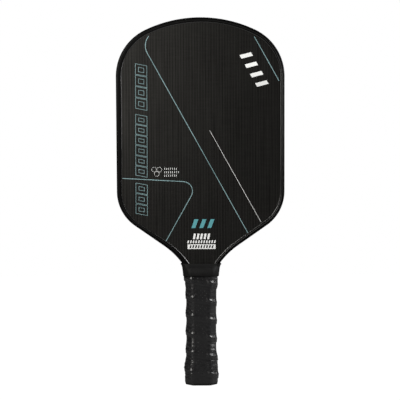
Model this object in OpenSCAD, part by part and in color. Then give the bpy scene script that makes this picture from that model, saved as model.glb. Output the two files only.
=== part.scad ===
/* [Head] */
// Overall length, butt end to the tip of the head
paddle_l = 414; // [408:1:420]
// Overall width, edge guard included
paddle_w = 190.5; // [188:0.5:193]
// Radius of the shallow arc over the top of the head
crown_r = 144.4; // [135:0.1:155]
// Radius of the two upper corners
top_corner_r = 58.1; // [54:0.1:62]
// Radius of the two lower corners
low_corner_r = 47.2; // [44:0.1:50]
// Height of the centres of the two lower corners
low_corner_z = 217.8; // [214:0.1:222]
// Taper of each side towards the handle, degrees
side_taper = 0.3; // [0:0.1:0.6]
// Slope of the two flanks below the head, degrees above level
flank_rise = 34.8; // [34:0.1:36]

/* [Throat and neck] */
// Radius of the concave throat arcs
throat_r = 84.3; // [82:0.1:86]
// Distance of the throat arc centres from the middle
throat_x = 89.5; // [88:0.1:91]
// Radius that blends each throat arc into the neck
neck_blend_r = 30; // [26:1:34]
// Width of the neck, edge guard included
neck_w = 29.2; // [28.6:0.2:29.8]

/* [Panel layers] */
// Thickness of the panel, face to face
panel_t = 16; // [15:0.1:16.4]
// Thickness of each outer carbon ply
face_ply_t = 0.3; // [0.2:0.05:0.4]
// Thickness of each inner fibreglass ply
inner_ply_t = 0.25; // [0.15:0.05:0.35]
// Thickness of each adhesive film under the plies
film_t = 0.15; // [0.1:0.05:0.2]
// Least width of the foam rim around the honeycomb
foam_w = 2.5; // [2:0.5:4]
// Honeycomb cell size, flat to flat
cell_w = 8; // [7:0.5:10]
// Thickness of the honeycomb walls
cell_wall = 0.4; // [0.3:0.05:0.6]

/* [Edge guard] */
// Width of the guard's lips on each face
lip_w = 5; // [4:0.1:6]
// Thickness of the lips over the faces
lip_t = 0.9; // [0.7:0.1:1.1]
// Thickness of the guard's web around the panel's edge
web_t = 1.2; // [1:0.1:1.4]
// Thickness of the tape that bonds the guard to the panel
edge_tape_t = 0.2; // [0.1:0.05:0.3]
// Height at which the two ends of the guard stop
guard_low_z = 124; // [123:0.5:126]

/* [Handle] */
// Width of the bare handle
handle_w = 29.4; // [29.2:0.1:30]
// Depth of the bare handle, front to rear
handle_d = 24.4; // [24:0.1:25]
// Length cut off each corner of the octagonal handle
handle_c = 6; // [5:0.1:6.5]
// Top end of the two handle pallets
pallet_top_z = 121; // [116:0.5:122]
// Swell of the handle at the butt
butt_flare = 1.7; // [1.4:0.1:2]
// Swell of the handle below the collar
throat_flare = 2; // [1.6:0.1:2.1]

/* [Butt cap] */
// Thickness of the cap's end flange
flange_t = 2.2; // [2:0.1:2.6]
// How far the flange stands out past the sleeve
flange_out = 1.6; // [1.2:0.1:2]
// Depth of the recess in the cap's end
recess_d = 0.9; // [0.6:0.1:1.1]
// Top end of the cap's sleeve
sleeve_top_z = 30; // [27:0.5:34]
// Height of the two staples through the sleeve
staple_z = 20; // [16:0.5:22]

/* [Grip and collar] */
// Thickness of the grip's foam backing
cushion_t = 1.4; // [1.2:0.1:1.6]
// Thickness of the grip's outer skin
skin_t = 0.7; // [0.5:0.05:0.8]
// Top end of the grip
grip_top_z = 128; // [127:0.5:129]
// Lower edge of the rubber collar
collar_low_z = 122; // [120:0.5:123]
// Upper edge of the rubber collar
collar_top_z = 136.2; // [135.6:0.1:138]

/* [Printed marks] */
// Thickness of the ink
ink_t = 0.05; // [0.04:0.01:0.08]
// Width of the long printed lines
line_w = 0.8; // [0.6:0.1:1.2]
// Width of the outlines of the hollow marks
thin_line_w = 0.45; // [0.3:0.05:0.6]

/* [Hidden] */

// Clearance between parts that touch but are not bonded
gap = 0.05;
// How far cutting bodies reach past what they cut
over = 1;

// Heights through the panel, measured from its middle
face_y = panel_t / 2;
inner_ply_y = face_y - face_ply_t;
film_y = inner_ply_y - inner_ply_t;
core_y = film_y - film_t;

// Insets from the outside of the guard
panel_inset = web_t + edge_tape_t;

// Arc centres of the outline's right side, as [x, z]
crown_c = [0, paddle_l - crown_r];
top_corner_x = paddle_w / 2 - top_corner_r;
top_corner_c = [
    top_corner_x,
    crown_c[1] + sqrt(pow(crown_r - top_corner_r, 2) - pow(top_corner_x, 2))
];
corner_drop = top_corner_c[1] - low_corner_z;
low_corner_c = [
    top_corner_x + (top_corner_r - low_corner_r - corner_drop * sin(side_taper)) / cos(side_taper),
    low_corner_z
];
throat_c = [
    throat_x,
    low_corner_z + ((throat_x - low_corner_c[0]) * sin(flank_rise) - low_corner_r - throat_r)
        / cos(flank_rise)
];
neck_c = [
    neck_w / 2 + neck_blend_r,
    throat_c[1] + sqrt(pow(throat_r - neck_blend_r, 2)
        - pow(throat_x - neck_w / 2 - neck_blend_r, 2))
];

// Directions in which neighbouring arcs meet
crown_join_a = atan2(top_corner_c[1] - crown_c[1], top_corner_c[0]);
neck_join_a = atan2(neck_c[1] - throat_c[1], neck_c[0] - throat_c[0]);
guard_end_a = 180 - asin((guard_low_z - neck_c[1]) / neck_blend_r);

// Bottom end of the panel and of the handle pallets
panel_low_z = flange_t + 0.3;

// ---------- outline ----------

function arc(c, r, from, to, steps) =
    [for (i = [0:steps]) let (a = from + (to - from) * i / steps)
        [c[0] + r * cos(a), c[1] + r * sin(a)]];

function mirrored(points) = [for (i = [len(points) - 1:-1:0]) [-points[i][0], points[i][1]]];

// Every point of a list but the last
function but_last(points) = [for (i = [0:len(points) - 2]) points[i]];

// The outline's right side, inset by d, from the neck arc up to the tip
function right_side(d, neck_from) = concat(
    but_last(arc(neck_c, neck_blend_r + d, neck_from, neck_join_a, 6)),
    arc(throat_c, throat_r + d, neck_join_a, 90 + flank_rise, 4),
    arc(low_corner_c, low_corner_r - d, flank_rise - 90, -side_taper, 11),
    but_last(arc(top_corner_c, top_corner_r - d, -side_taper, crown_join_a, 14)),
    arc(crown_c, crown_r - d, crown_join_a, 90, 6)
);

// The guard's run, inset by d, from one end around the head to the other
function guard_run(d) = let (side = right_side(d, guard_end_a))
    concat(side, mirrored(but_last(side)));

// The closed outline, inset by d, down to the height low_z
function outline(d, low_z) =
    let (side = concat([[neck_w / 2 - d, low_z]], right_side(d, 180)))
    concat(side, mirrored(but_last(side)));

module panel_area(d = panel_inset) {
    polygon(outline(d, panel_low_z));
}

// Lifts an outline drawn on X and Z into a sheet from y_low to y_low + t
module sheet(y_low, t) {
    translate([0, y_low + t, 0])
        rotate([90, 0, 0])
            linear_extrude(t)
                children();
}

// ---------- panel ----------

// Half width of the honeycomb's limit, as [height, half width] pairs
core_limit = [for (p = right_side(panel_inset + foam_w, 180)) [p[1], p[0]]];

// Corners of a hexagonal cell with its centre at c, two of its flats upright
function cell_corners(c, w) =
    [for (a = [30:60:330]) c + w / sqrt(3) * [cos(a), sin(a)]];

function in_core(p) = p[1] > panel_low_z + foam_w
    && p[1] < paddle_l - panel_inset - foam_w
    && abs(p[0]) < lookup(p[1], core_limit);

// A cell is kept when its walls lie wholly inside the foam rim
function cell_fits(c) =
    len([for (p = cell_corners(c, cell_w + 2 * cell_wall)) if (!in_core(p)) p]) == 0;

cell_pitch = cell_w + cell_wall;
row_h = cell_pitch * sqrt(3) / 2;
columns = ceil(paddle_w / cell_pitch / 2);
cell_centres = [
    for (row = [0:ceil(paddle_l / row_h)])
        for (column = [-columns:columns])
            let (c = [(column + (row % 2) / 2) * cell_pitch, row * row_h])
            if (cell_fits(c)) c
];

// Hexagons of width w, flat to flat, on every cell centre
module cells(w) {
    for (c = cell_centres)
        polygon(cell_corners(c, w));
}

module honeycomb_core() color("#d8d6cc") {
    sheet(-core_y, 2 * core_y)
        difference() {
            cells(cell_w + 2 * cell_wall);
            cells(cell_w);
        }
}

module perimeter_foam() color("#e9e2c4") {
    sheet(-core_y, 2 * core_y)
        difference() {
            panel_area();
            cells(cell_w + 2 * cell_wall);
        }
}

module front_adhesive_film() color("#b9b48a")
    sheet(-film_y, film_t) panel_area();

module rear_adhesive_film() color("#b9b48a")
    sheet(core_y, film_t) panel_area();

module front_inner_ply() color("#9fb0a6")
    sheet(-inner_ply_y, inner_ply_t) panel_area();

module rear_inner_ply() color("#9fb0a6")
    sheet(film_y, inner_ply_t) panel_area();

module front_face_ply() color("#2b2c2b")
    sheet(-face_y, face_ply_t) panel_area();

module rear_face_ply() color("#2b2c2b")
    sheet(inner_ply_y, face_ply_t) panel_area();

// ---------- edge guard ----------

// The guard's C section as [inset, y], once around, outer corner radius first
function guard_section() =
    let (
        top = face_y + lip_t,
        round_r = 2.4,
        bevel_w = 1.1,
        bevel_h = 0.8 * lip_t,
        front = concat(
            [for (a = [0:30:90]) [round_r * (1 - cos(a)), top - round_r * (1 - sin(a))]],
            [[lip_w - bevel_w, top], [lip_w, top - bevel_h], [lip_w, face_y + gap / 2],
                [web_t, face_y + gap / 2]]
        )
    )
    concat(front, [for (i = [len(front) - 1:-1:0]) [front[i][0], -front[i][1]]]);

module edge_guard() color("#151515") {
    section = guard_section();
    runs = [for (p = section) guard_run(p[0])];
    m = len(section);
    n = len(runs[0]);
    polyhedron(
        points = [for (i = [0:n - 1]) for (j = [0:m - 1])
            [runs[j][i][0], section[j][1], runs[j][i][1]]],
        faces = concat(
            [[for (j = [0:m - 1]) j]],
            [for (i = [0:n - 2]) for (j = [0:m - 1]) let (k = (j + 1) % m)
                [i * m + k, i * m + j, (i + 1) * m + j, (i + 1) * m + k]],
            [[for (j = [m - 1:-1:0]) (n - 1) * m + j]]
        ),
        convexity = 10
    );
}

module edge_guard_tape() color("#c9c9c4")
    sheet(gap - face_y, 2 * (face_y - gap))
        polygon(concat(
            guard_run(web_t),
            [for (i = [len(guard_run(0)) - 1:-1:0]) guard_run(panel_inset)[i]]
        ));

// ---------- handle ----------

// Rounded octagon with half sizes hx and hy, corner cut c and corner radius r
function octagon(hx, hy, c, r) =
    let (slope = (hx + hy - c) / sqrt(2))
    [for (k = [0:7]) let (
            a = 45 * k,
            b = a + 45,
            da = (k % 4 == 0 ? hx : k % 2 == 1 ? slope : hy) - r,
            db = ((k + 1) % 4 == 0 ? hx : (k + 1) % 2 == 1 ? slope : hy) - r,
            cx = (da * sin(b) - db * sin(a)) / sin(45),
            cy = (db * cos(a) - da * cos(b)) / sin(45)
        )
        for (t = [a, a + 22.5, b]) [cx + r * cos(t), cy + r * sin(t)]];

// Where the handle swells: over the butt end and again below the collar
butt_swell_z = 15;
butt_swell_h = 27;
throat_swell_z = 96;
throat_swell_h = 30;

// How much the handle swells, sideways and front to rear, at height z
function ease(x) = (1 - cos(180 * min(1, max(0, x)))) / 2;
function butt_swell(z) = butt_flare * (1 - ease((z - butt_swell_z) / butt_swell_h));
function throat_swell(z) = throat_flare * ease((z - throat_swell_z) / throat_swell_h);
function swell_x(z) = butt_swell(z) + throat_swell(z);
function swell_y(z) = butt_swell(z) + throat_swell(z) / 4;

// The handle's section at height z, grown outwards by t
function handle_section(z, t) = octagon(
    handle_w / 2 + swell_x(z) + t,
    handle_d / 2 + swell_y(z) + t,
    handle_c + (2 - sqrt(2)) * t,
    1.5 + t
);

// Joins a list of [height, section] rings into one closed solid
module loft(rings) {
    m = len(rings[0][1]);
    n = len(rings);
    polyhedron(
        points = [for (ring = rings) for (p = ring[1]) [p[0], p[1], ring[0]]],
        faces = concat(
            [[for (j = [0:m - 1]) j]],
            [for (i = [0:n - 2]) for (j = [0:m - 1]) let (k = (j + 1) % m)
                [i * m + k, i * m + j, (i + 1) * m + j, (i + 1) * m + k]],
            [[for (j = [m - 1:-1:0]) (n - 1) * m + j]]
        ),
        convexity = 4
    );
}

// Heights at which the swelling handle is sampled
swell_heights = concat(
    [for (i = [0:6]) butt_swell_z + i * butt_swell_h / 6],
    [for (i = [0:6]) throat_swell_z + i * throat_swell_h / 6]
);

function handle_heights(low, high) = concat(
    [low],
    [for (z = swell_heights) if (z > low + 0.4 && z < high - 0.4) z],
    [high]
);

module handle_body(low, high, t) {
    loft([for (z = handle_heights(low, high)) [z, handle_section(z, t)]]);
}

// The bare handle without swelling at the butt, where the cap adds it
module bare_handle() {
    plain = octagon(handle_w / 2, handle_d / 2, handle_c, 1.5);
    loft(concat(
        [[panel_low_z, plain]],
        [for (z = handle_heights(throat_swell_z, pallet_top_z)) [z, handle_section(z, 0)]]
    ));
}

// Half of the bare handle, hollowed for the panel and for the staple legs
module pallet() {
    difference() {
        bare_handle();
        translate([-handle_w, -gap / 2, 0])
            cube([2 * handle_w, handle_d, paddle_l]);
        sheet(-face_y - gap / 2, panel_t + gap)
            polygon(outline(panel_inset - gap, panel_low_z - over));
        staple_room();
    }
}

module front_handle_pallet() color("#c8b08a")
    pallet();

module rear_handle_pallet() color("#c8b08a")
    rotate(180) pallet();

// ---------- butt cap ----------

staple_w = 10;
staple_leg = 5;
staple_wire = [0.6, 1.2];
staple_y = handle_d / 2 + swell_y(staple_z + staple_wire[1] / 2);

// One staple across the front, its crown flush with the cap's sleeve
module staple(extra = 0) {
    crown_z = staple_z - staple_wire[1] / 2 - extra;
    height = staple_wire[1] + 2 * extra;
    translate([-staple_w / 2 - extra, -staple_y - extra, crown_z])
        cube([staple_w + 2 * extra, staple_wire[0] + 2 * extra, height]);
    for (x = [-staple_w / 2, staple_w / 2 - staple_wire[0]])
        translate([x - extra, -staple_y - extra, crown_z])
            cube([staple_wire[0] + 2 * extra, staple_leg + 2 * extra, height]);
}

// The space a staple needs, open towards the outside
module staple_room() {
    staple(gap);
    translate([-staple_w / 2 - gap, -staple_y - over, staple_z - staple_wire[1] / 2 - gap])
        cube([staple_w + 2 * gap, 2 * over, staple_wire[1] + 2 * gap]);
}

module butt_cap_staples() color("#b8bcc0") {
    staple();
    rotate(180) staple();
}

module butt_cap() color("#161616") {
    out = butt_flare + flange_out;
    rim_w = 3.2;
    boss_r = 7;
    boss_h = 0.4;
    difference() {
        union() {
            linear_extrude(flange_t)
                polygon(octagon(handle_w / 2 + out, handle_d / 2 + out, handle_c + 1.6, 3.6));
            translate([0, 0, flange_t - gap])
                linear_extrude(2 * gap)
                    polygon(handle_section(0, 0));
            handle_body(flange_t, sleeve_top_z, 0);
        }
        translate([0, 0, panel_low_z])
            linear_extrude(sleeve_top_z)
                polygon(octagon(handle_w / 2 + gap, handle_d / 2 + gap, handle_c, 1.5));
        difference() {
            translate([0, 0, -over])
                linear_extrude(recess_d + over)
                    polygon(octagon(handle_w / 2 + out - rim_w, handle_d / 2 + out - rim_w,
                        handle_c, 2.4));
            translate([0, 0, recess_d - boss_h])
                cylinder(h = boss_h + over, r = boss_r, $fn = 64);
        }
        staple_room();
        rotate(180) staple_room();
    }
}

// ---------- grip ----------

module grip_layer(t_in, t_out) {
    low = flange_t + gap;
    difference() {
        handle_body(low, grip_top_z, t_out);
        loft([for (z = concat([low - over], handle_heights(low, grip_top_z), [grip_top_z + over]))
            [z, handle_section(z, t_in)]]);
    }
}

module grip_cushion() color("#3b3b3b")
    grip_layer(gap, gap + cushion_t);

module grip_skin() color("#212123")
    grip_layer(gap + cushion_t, cushion_t + skin_t);

module finishing_tape() color("#101010") {
    low = collar_low_z + 0.8;
    t = cushion_t + skin_t;
    tape_t = 0.25;
    difference() {
        handle_body(low, grip_top_z, t + gap + tape_t);
        loft([for (z = concat([low - over], handle_heights(low, grip_top_z), [grip_top_z + over]))
            [z, handle_section(z, t + gap)]]);
    }
}

// ---------- collar ----------

module throat_collar() color("#1b1b1b") {
    shoulder_z = grip_top_z + 0.6;
    grip_hx = handle_w / 2 + throat_flare + cushion_t + skin_t + 0.5;
    grip_hy = handle_d / 2 + throat_flare / 4 + cushion_t + skin_t + 0.5;
    rim_x = throat_c[0] - sqrt(pow(throat_r, 2) - pow(collar_top_z - throat_c[1], 2));
    rim_y = face_y + lip_t;
    wall = 1.1;
    rim_wall = 0.6;
    difference() {
        loft([
            [collar_low_z, octagon(grip_hx + wall, grip_hy + wall, 7.6, 4.6)],
            [shoulder_z, octagon(grip_hx + wall + 0.7, grip_hy + wall, 7.4, 4.4)],
            [collar_top_z, octagon(rim_x + rim_wall, rim_y + wall, 2.4, 2.2)]
        ]);
        loft([
            [collar_low_z - over, octagon(grip_hx, grip_hy, 7.2, 3.5)],
            [shoulder_z, octagon(grip_hx, grip_hy, 7.2, 3.5)],
            [collar_top_z + gap, octagon(rim_x + gap, rim_y + gap, 1, 0.5)]
        ]);
    }
}

// ---------- printed marks ----------

// Outline of a stroke of width w along a list of points
function stroke(points, w) =
    let (
        n = len(points),
        sides = [for (i = [0:n - 1]) let (
                d = points[min(n - 1, i + 1)] - points[max(0, i - 1)]
            )
            [-d[1], d[0]] * w / 2 / norm(d)]
    )
    concat(
        [for (i = [0:n - 1]) points[i] + sides[i]],
        [for (i = [n - 1:-1:0]) points[i] - sides[i]]
    );

// A leaning bar, its lower left corner at x
function slash(x, w, h, lean) = [[x, 0], [x + w, 0], [x + w + lean, h], [x + lean, h]];

module slashes(count, pitch, w, h, lean) {
    for (i = [0:count - 1])
        polygon(slash(i * pitch, w, h, lean));
}

// A leaning bar's outline, drawn d inside the bar
module hollow_slash(w, h, lean, d) {
    difference() {
        inset_slash(w, h, lean, d);
        inset_slash(w, h, lean, d + thin_line_w);
    }
}

module inset_slash(w, h, lean, d) {
    translate([lean * d / h, d])
        polygon(slash(d, w - 2 * d, h - 2 * d, lean * (h - 2 * d) / h));
}

// Leaning bars drawn as an outline with a smaller one inside
module double_slashes(count, pitch, w, h, lean) {
    band_w = 3.4;
    for (i = [0:count - 1])
        translate([i * pitch, 0]) {
            hollow_slash(w, h, lean, 0);
            hollow_slash(w, h, lean, band_w);
        }
}

module ring(r) {
    difference() {
        circle(r = r, $fn = 24);
        circle(r = r - thin_line_w / 2, $fn = 24);
    }
}

// Slope of the three long parallel lines, degrees
line_a = -61;

module hook_line() {
    hook_c = [-44.6, 381.9];
    hook_r = 17.1;
    bend = arc(hook_c, hook_r, 141, 270 + line_a, 8);
    end_z = 170.4;
    last = bend[len(bend) - 1];
    polygon(stroke(concat(bend, [[last[0] + (end_z - last[1]) / tan(line_a), end_z]]), line_w));
}

module corner_line() {
    start = [-87.9, 232.6];
    end = [-39.3, 161.7];
    bend_c = [-20, 217.9];
    bend_r = 10.8;
    polygon(stroke(concat([start], arc(bend_c, bend_r, 87, -30.7, 10), [end]), line_w));
}

module straight_line(from, length, w) {
    polygon(stroke([from, from + length * [cos(line_a), sin(line_a)]], w));
}

module teal_marks() {
    hook_line();
    corner_line();
    straight_line([61.1, 391.8], 57.5, line_w);
    // Three rows of hollow marks down the left side, as [start height, count, pitch]
    for (row = [[190.3, 3, 11.8], [233.4, 6, 11.6], [308.8, 4, 12.8]])
        translate([-59.9, row[0]])
            rotate(90)
                double_slashes(row[1], row[2], row[2] - 0.6, 13.3, 2.6);
    translate([-10.7, 176.3])
        slashes(3, 9, 4.4, 9.9, 3.6);
}

module white_marks() {
    straight_line([10.5, 286], 118, line_w / 2);
    translate([44.3, 370.9])
        rotate(line_a)
            slashes(4, 12.1, 4.6, 12.9, 3.4);
    for (p = [[-52.4, 242.3], [-46.5, 242.3], [-49.4, 237.4]])
        translate(p)
            ring(2.8);
    // Three short rows of fine bars
    for (i = [0:2])
        translate([-40.9, 242 - 3.85 * i])
            slashes([7, 8, 7][i], 2.2, 0.5, 2.3, 0.4);
    translate([-9.1, 163.6])
        slashes(5, 4, 2.3, 6.4, 1.3);
    translate([-15.4, 159.2])
        slashes(11, 3, 1.5, 3.2, 0.7);
    difference() {
        translate([-15, 152.7])
            square([31.5, 5.2]);
        translate([-13, 153.6])
            slashes(9, 3.1, 1.7, 3.4, 0.9);
    }
}

// Ink on the front face, only where the guard's lips leave it open
module print_layer() {
    sheet(-face_y - ink_t, ink_t)
        intersection() {
            polygon(outline(lip_w + gap, collar_top_z));
            children();
        }
}

module front_teal_print() color("#5fa9ad")
    print_layer() teal_marks();

module front_white_print() color("#d9dcdc")
    print_layer() white_marks();

module rear_teal_print() color("#5fa9ad")
    rotate(180) print_layer() teal_marks();

module rear_white_print() color("#d9dcdc")
    rotate(180) print_layer() white_marks();

// ---------- assembly ----------

honeycomb_core();
perimeter_foam();
front_adhesive_film();
rear_adhesive_film();
front_inner_ply();
rear_inner_ply();
front_face_ply();
rear_face_ply();
edge_guard();
edge_guard_tape();
front_handle_pallet();
rear_handle_pallet();
butt_cap();
butt_cap_staples();
grip_cushion();
grip_skin();
finishing_tape();
throat_collar();
front_teal_print();
front_white_print();
rear_teal_print();
rear_white_print();
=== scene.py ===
import math

import bmesh
import bpy
import numpy as np
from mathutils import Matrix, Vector, noise

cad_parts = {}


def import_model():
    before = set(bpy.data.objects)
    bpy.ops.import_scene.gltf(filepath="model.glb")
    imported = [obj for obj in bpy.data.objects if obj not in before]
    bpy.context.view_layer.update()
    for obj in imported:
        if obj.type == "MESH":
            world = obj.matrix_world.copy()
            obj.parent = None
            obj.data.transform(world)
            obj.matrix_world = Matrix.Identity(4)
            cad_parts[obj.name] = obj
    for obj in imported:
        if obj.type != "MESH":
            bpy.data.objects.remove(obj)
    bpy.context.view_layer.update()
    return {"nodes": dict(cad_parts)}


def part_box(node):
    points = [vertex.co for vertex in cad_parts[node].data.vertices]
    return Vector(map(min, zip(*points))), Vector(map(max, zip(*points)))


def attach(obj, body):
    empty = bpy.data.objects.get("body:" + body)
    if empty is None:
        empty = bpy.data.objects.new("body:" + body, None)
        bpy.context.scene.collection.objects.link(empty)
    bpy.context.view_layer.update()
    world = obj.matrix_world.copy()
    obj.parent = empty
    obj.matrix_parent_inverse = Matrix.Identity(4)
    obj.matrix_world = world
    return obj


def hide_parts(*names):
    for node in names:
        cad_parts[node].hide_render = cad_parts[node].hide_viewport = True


# The paddle's visible pieces: the guard, the grip, the collar and the butt cap are rebuilt as finished
# meshes in place of their CAD nodes, and the other nodes take materials as they are.

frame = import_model()

# All lengths below are metres. MM turns a length in millimetres into metres.
MM = 0.001
BODY = "root"

# ---------------------------------------------------------------- frame sizes

GUARD_LOW, GUARD_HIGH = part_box("edge_guard")
GRIP_LOW, GRIP_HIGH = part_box("grip_skin")
COLLAR_LOW, COLLAR_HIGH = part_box("throat_collar")
CAP_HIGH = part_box("butt_cap")[1]
FACE_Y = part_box("rear_face_ply")[1].y
HEAD_W = GUARD_HIGH.x - GUARD_LOW.x
HEAD_MIDDLE_Z = 280 * MM
TIP_Z = GUARD_HIGH.z

# ---------------------------------------------------------------- head outline

CROWN_R = 144.4 * MM
TOP_CORNER_R = 58.1 * MM
LOW_CORNER_R = 47.2 * MM
LOW_CORNER_Z = 217.8 * MM
SIDE_TAPER = math.radians(0.3)
FLANK_RISE = math.radians(34.8)
THROAT_R = 84.3 * MM
THROAT_X = 89.5 * MM
NECK_BLEND_R = 30 * MM
NECK_HALF = 14.6 * MM


def outline_arcs():
    """The right side's arcs from the neck up: (centre, radius, side of the line, from, to)."""
    crown = (0.0, TIP_Z - CROWN_R)
    top_x = HEAD_W / 2 - TOP_CORNER_R
    top = (top_x, crown[1] + math.sqrt((CROWN_R - TOP_CORNER_R) ** 2 - top_x**2))
    drop = top[1] - LOW_CORNER_Z
    low_x = top_x + (
        TOP_CORNER_R - LOW_CORNER_R - drop * math.sin(SIDE_TAPER)
    ) / math.cos(SIDE_TAPER)
    low = (low_x, LOW_CORNER_Z)
    reach = (THROAT_X - low_x) * math.sin(FLANK_RISE) - LOW_CORNER_R - THROAT_R
    throat = (THROAT_X, LOW_CORNER_Z + reach / math.cos(FLANK_RISE))
    neck_x = NECK_HALF + NECK_BLEND_R
    neck_rise = math.sqrt((THROAT_R - NECK_BLEND_R) ** 2 - (THROAT_X - neck_x) ** 2)
    neck = (neck_x, throat[1] + neck_rise)
    crown_join = math.atan2(top[1] - crown[1], top_x)
    neck_join = math.atan2(neck_rise, neck_x - THROAT_X)
    neck_start = math.pi - math.asin((GUARD_LOW.z - neck[1]) / NECK_BLEND_R)
    flank_end = FLANK_RISE - math.pi / 2
    return [
        (neck, NECK_BLEND_R, 1, neck_start, neck_join),
        (throat, THROAT_R, 1, neck_join, math.pi / 2 + FLANK_RISE),
        (low, LOW_CORNER_R, -1, flank_end, -SIDE_TAPER),
        (top, TOP_CORNER_R, -1, -SIDE_TAPER, crown_join),
        (crown, CROWN_R, -1, crown_join, math.pi / 2),
    ]


def outline_side(step):
    """Points of the right side as (x, z, outward x, outward z), about step apart."""
    rows = []
    for centre, radius, sign, start, end in outline_arcs():
        count = max(2, round(abs(end - start) * radius / step))
        for i in range(count + 1):
            a = start + (end - start) * i / count
            x = centre[0] + radius * math.cos(a)
            z = centre[1] + radius * math.sin(a)
            rows.append((x, z, -sign * math.cos(a), -sign * math.sin(a)))
    out = [rows[0]]
    for row in rows[1:]:
        last = out[-1]
        gap = math.hypot(row[0] - last[0], row[1] - last[1])
        if gap < step * 0.3:
            continue
        for i in range(1, int(gap / step)):
            t = i / int(gap / step)
            out.append(tuple(last[k] + (row[k] - last[k]) * t for k in range(4)))
        out.append(row)
    return out


def outline_run(step):
    """The whole outline, up the right side and down the left."""
    side = outline_side(step)
    left = [(-x, z, -nx, nz) for x, z, nx, nz in reversed(side[:-1])]
    return side + left


# ---------------------------------------------------------------- mesh helpers


def new_object(name, verts, faces):
    mesh = bpy.data.meshes.new(name)
    mesh.from_pydata([tuple(v) for v in verts], [], faces)
    mesh.validate()
    mesh.polygons.foreach_set("use_smooth", [True] * len(mesh.polygons))
    mesh.update()
    obj = bpy.data.objects.new(name, mesh)
    bpy.context.scene.collection.objects.link(obj)
    return obj


def recalc_normals(obj):
    bm = bmesh.new()
    bm.from_mesh(obj.data)
    bmesh.ops.recalc_face_normals(bm, faces=bm.faces)
    bm.to_mesh(obj.data)
    bm.free()


def ring_mesh(name, rings, joined_ends=False, caps=False):
    """A surface through closed rings of equal length, its ends open, capped or joined to each other."""
    m = len(rings[0])
    n = len(rings)
    verts = [p for ring in rings for p in ring]
    faces = []
    for i in range(n if joined_ends else n - 1):
        a, b = i * m, ((i + 1) % n) * m
        for j in range(m):
            k = (j + 1) % m
            faces.append((a + j, a + k, b + k, b + j))
    if caps:
        faces.append(tuple(range(m)))
        faces.append(tuple((n - 1) * m + j for j in range(m)))
    obj = new_object(name, verts, faces)
    recalc_normals(obj)
    return obj


def place(obj, material, replaced):
    """Gives a piece its material and lets it stand in for the CAD node it replaces."""
    obj.data.materials.clear()
    obj.data.materials.append(material)
    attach(obj, BODY)
    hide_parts(replaced)


def apply_modifiers(obj):
    graph = bpy.context.evaluated_depsgraph_get()
    mesh = bpy.data.meshes.new_from_object(obj.evaluated_get(graph))
    obj.modifiers.clear()
    obj.data = mesh
    mesh.polygons.foreach_set("use_smooth", [True] * len(mesh.polygons))


def smoothstep(x):
    x = min(1.0, max(0.0, x))
    return x * x * (3 - 2 * x)


def fade(length, start, full):
    """Smoothly from 0 where the length is start mm to 1 where it is full mm, and flat beyond."""
    return smoothstep((length / MM - start) / (full - start))


def ease(x):
    """A half cosine from 0 to 1."""
    return (1 - math.cos(math.pi * min(1.0, max(0.0, x)))) / 2


def between(low, high, share):
    return low + (high - low) * share


# ---------------------------------------------------------------- materials


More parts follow.
